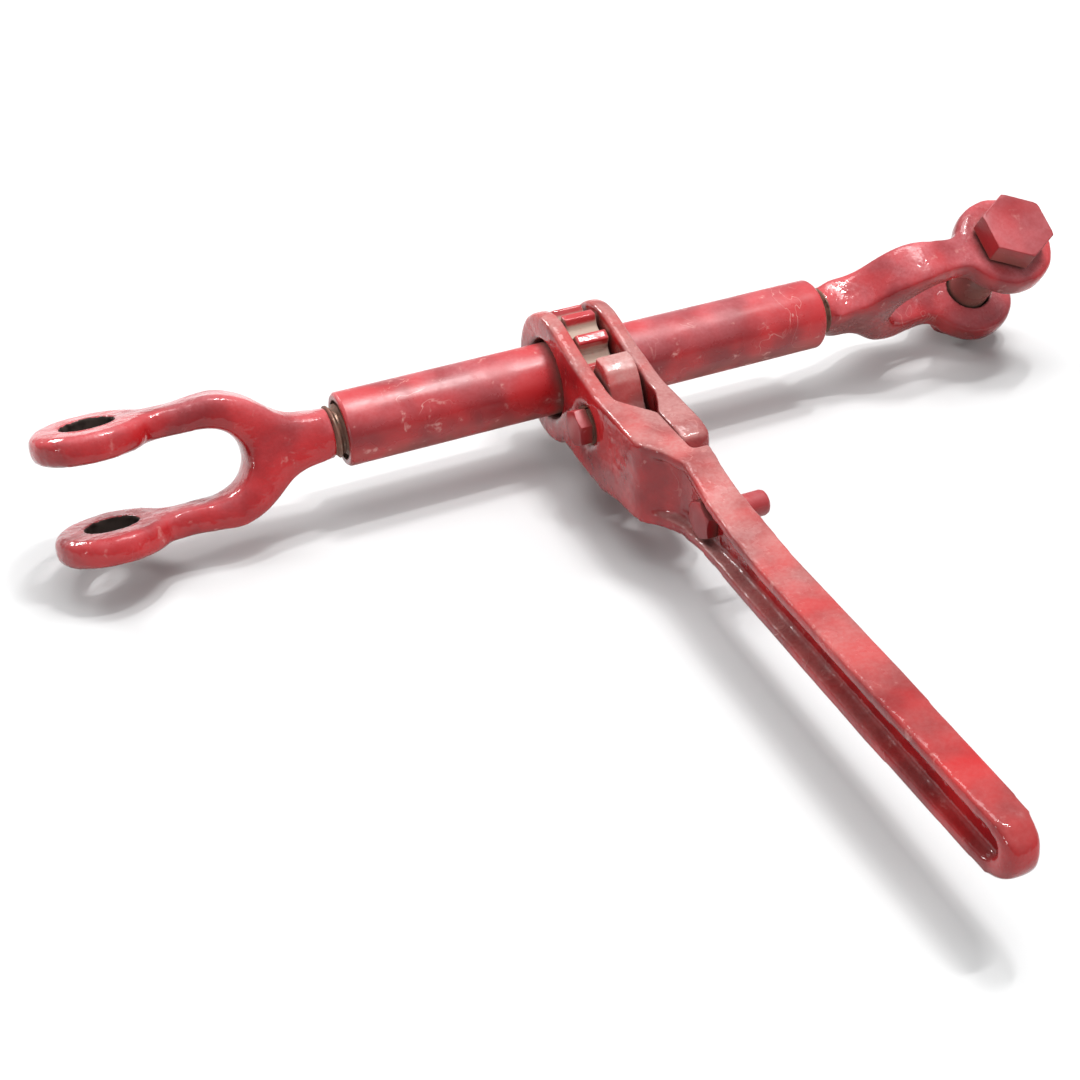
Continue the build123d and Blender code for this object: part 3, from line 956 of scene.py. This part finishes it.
@dataclass
class PawlSet:
    """Reversible pawl with the sprung plunger that holds it over."""

    def build(self) -> None:
        """Build the pawl and dress the plunger and its spring."""
        bm = remeshed(merged_copy("pawl"), 0.55)
        relax(bm, lambda p: 10)
        scale_skin(bm, lambda p: 0.12, 5, 2.2)
        shown(bm, "reversible_pawl", "pawl", "pawl_enamel", ["pawl"])
        dress("pawl_plunger", "greased_thread_steel")
        dress("pawl_spring", "spring_steel")


# ---------------------------------------------------------------- stage
@dataclass
class Studio:
    """Pale floor, soft light and the camera, in degrees and metres."""

    azimuth: float = -22.56
    elevation: float = 36.42
    roll: float = -1.77
    lens: float = 55.08
    place: Vector = field(default_factory=lambda: Vector((-283.89, -628.05, 407.68)) * MM)

    def camera(self) -> None:
        """Set up the camera."""
        data = bpy.data.cameras.new("camera")
        data.lens = self.lens
        data.sensor_width = 36
        data.clip_start = 0.01
        data.clip_end = 50
        cam = link("camera", data)
        a, e = math.radians(self.azimuth), math.radians(self.elevation)
        back = Vector((math.sin(a) * math.cos(e), -math.cos(a) * math.cos(e), math.sin(e)))
        turn = (-back).to_track_quat("-Z", "Y") @ Quaternion((0, 0, 1), math.radians(self.roll))
        cam.rotation_mode = "QUATERNION"
        cam.rotation_quaternion = turn
        cam.location = self.place
        bpy.context.scene.camera = cam

    def floor(self) -> None:
        """Lay the floor under the lowest point."""
        bm = bmesh.new()
        bmesh.ops.create_grid(bm, x_segments=1, y_segments=1, size=8)
        bmesh.ops.translate(bm, verts=bm.verts, vec=(0, 0, CAD_BOX[0].z - 0.0005))
        mesh = bpy.data.meshes.new("studio_floor")
        bm.to_mesh(mesh)
        bm.free()
        g = Graph("matt_white_paper")
        colour = g.blend(g.grain(400, 2), linear("#CDCDCC"), linear("#C8C9CA"))
        mesh.materials.append(g.finish({"Base Color": colour, "Roughness": 0.85}))
        link("studio_floor", mesh)

    def lamp(
        self, name: str, towards: tuple[float, float, float], far: float, size: float, watts: float,
        tall: float | None = None, mirrored: bool = True,
    ) -> None:
        """Hang one area light.

        Args:
            name: its name.
            towards: direction from the object to the light.
            far: distance in metres.
            size: width in metres.
            watts: power.
            tall: height in metres, if not square.
            mirrored: whether glossy surfaces show it.
        """
        data = bpy.data.lights.new(name, "AREA")
        data.energy = watts
        data.size = size
        if tall:
            data.shape = "RECTANGLE"
            data.size_y = tall
        lamp = link(name, data)
        lamp.location = Vector(towards).normalized() * far
        lamp.rotation_mode = "QUATERNION"
        lamp.rotation_quaternion = (-lamp.location).to_track_quat("-Z", "Y")
        lamp.visible_glossy = mirrored

    def build(self) -> None:
        """Set the stage."""
        self.camera()
        self.floor()
        self.lamp("overhead_softbox", (0.05, 0.12, 1.0), 2.0, 1.9, 34, mirrored=False)
        self.lamp("front_softbox", (0.35, -0.8, 0.45), 2.2, 1.1, 13, mirrored=False)
        self.lamp("overhead_panel", (0.1, 0.3, 0.95), 2.0, 0.7, 8)
        self.lamp("overhead_tube_near", (0.31, -0.05, 0.95), 4.0, 0.14, 50, 0.7)
        self.lamp("overhead_tube_far", (0.2, 0.14, 0.95), 4.0, 0.14, 50, 0.7)
        self.lamp("side_window", (-0.92, -0.3, 0.14), 3.0, 0.16, 7, 0.4)
        self.lamp("back_window", (-0.42, 0.75, 0.45), 2.0, 0.6, 16, 0.35)
        world = bpy.data.worlds.new("studio_air")
        world.use_nodes = True
        tree = world.node_tree
        tree.nodes.clear()
        air = add(tree, "ShaderNodeBackground", None, {"Color": linear("#F4F6F8"), "Strength": 0.33})
        add(tree, "ShaderNodeOutputWorld", None, {"Surface": air.outputs[0]})
        bpy.context.scene.world = world
        bpy.context.scene.view_settings.view_transform = "Standard"


def main() -> None:
    """Build the load binder and its stage."""
    logging.basicConfig(level=logging.INFO, format="%(name)s %(message)s")
    Studio().build()
    Barrel().build()
    Jaw("left", -1, "left_jaw_pin_hole", seed=0.4).build()
    right = Jaw("right", 1, "right_jaw_bolt", seed=6.1)
    right.build()
    ClevisBolt(right).build()
    Handle().build()
    PawlSet().build()


if __name__ == "__main__":
    main()
